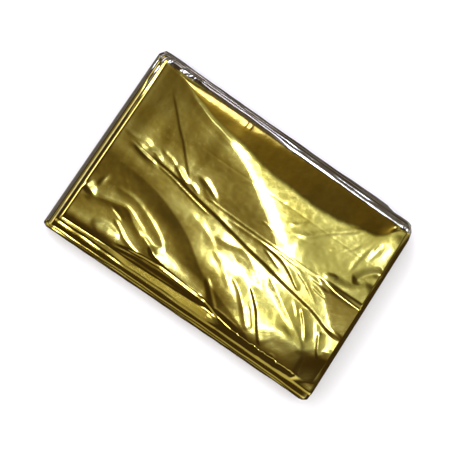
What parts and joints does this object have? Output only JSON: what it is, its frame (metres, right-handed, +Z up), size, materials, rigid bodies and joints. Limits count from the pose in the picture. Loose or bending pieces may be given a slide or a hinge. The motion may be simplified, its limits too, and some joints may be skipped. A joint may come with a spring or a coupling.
{
  "type": "emergency foil blanket",
  "caption": "Emergency foil blanket of gold and silver metallised film, folded back and forth into a flat loose packet, gold side up.",
  "frame": {"origin": "centre of the packet's box at the underside of its bottom layer", "axes": "+X along the packet's long side, +Y across it towards the silver folds, +Z up through the layers"},
  "size_m": [0.1408, 0.0973, 0.022],
  "materials": {
    "gold_film": "glossy metallised film, gold on the side that looks up and silver on the other"
  },
  "bodies": {
    "root": {"foil_blanket": "gold_film"}
  },
  "joints": []
}
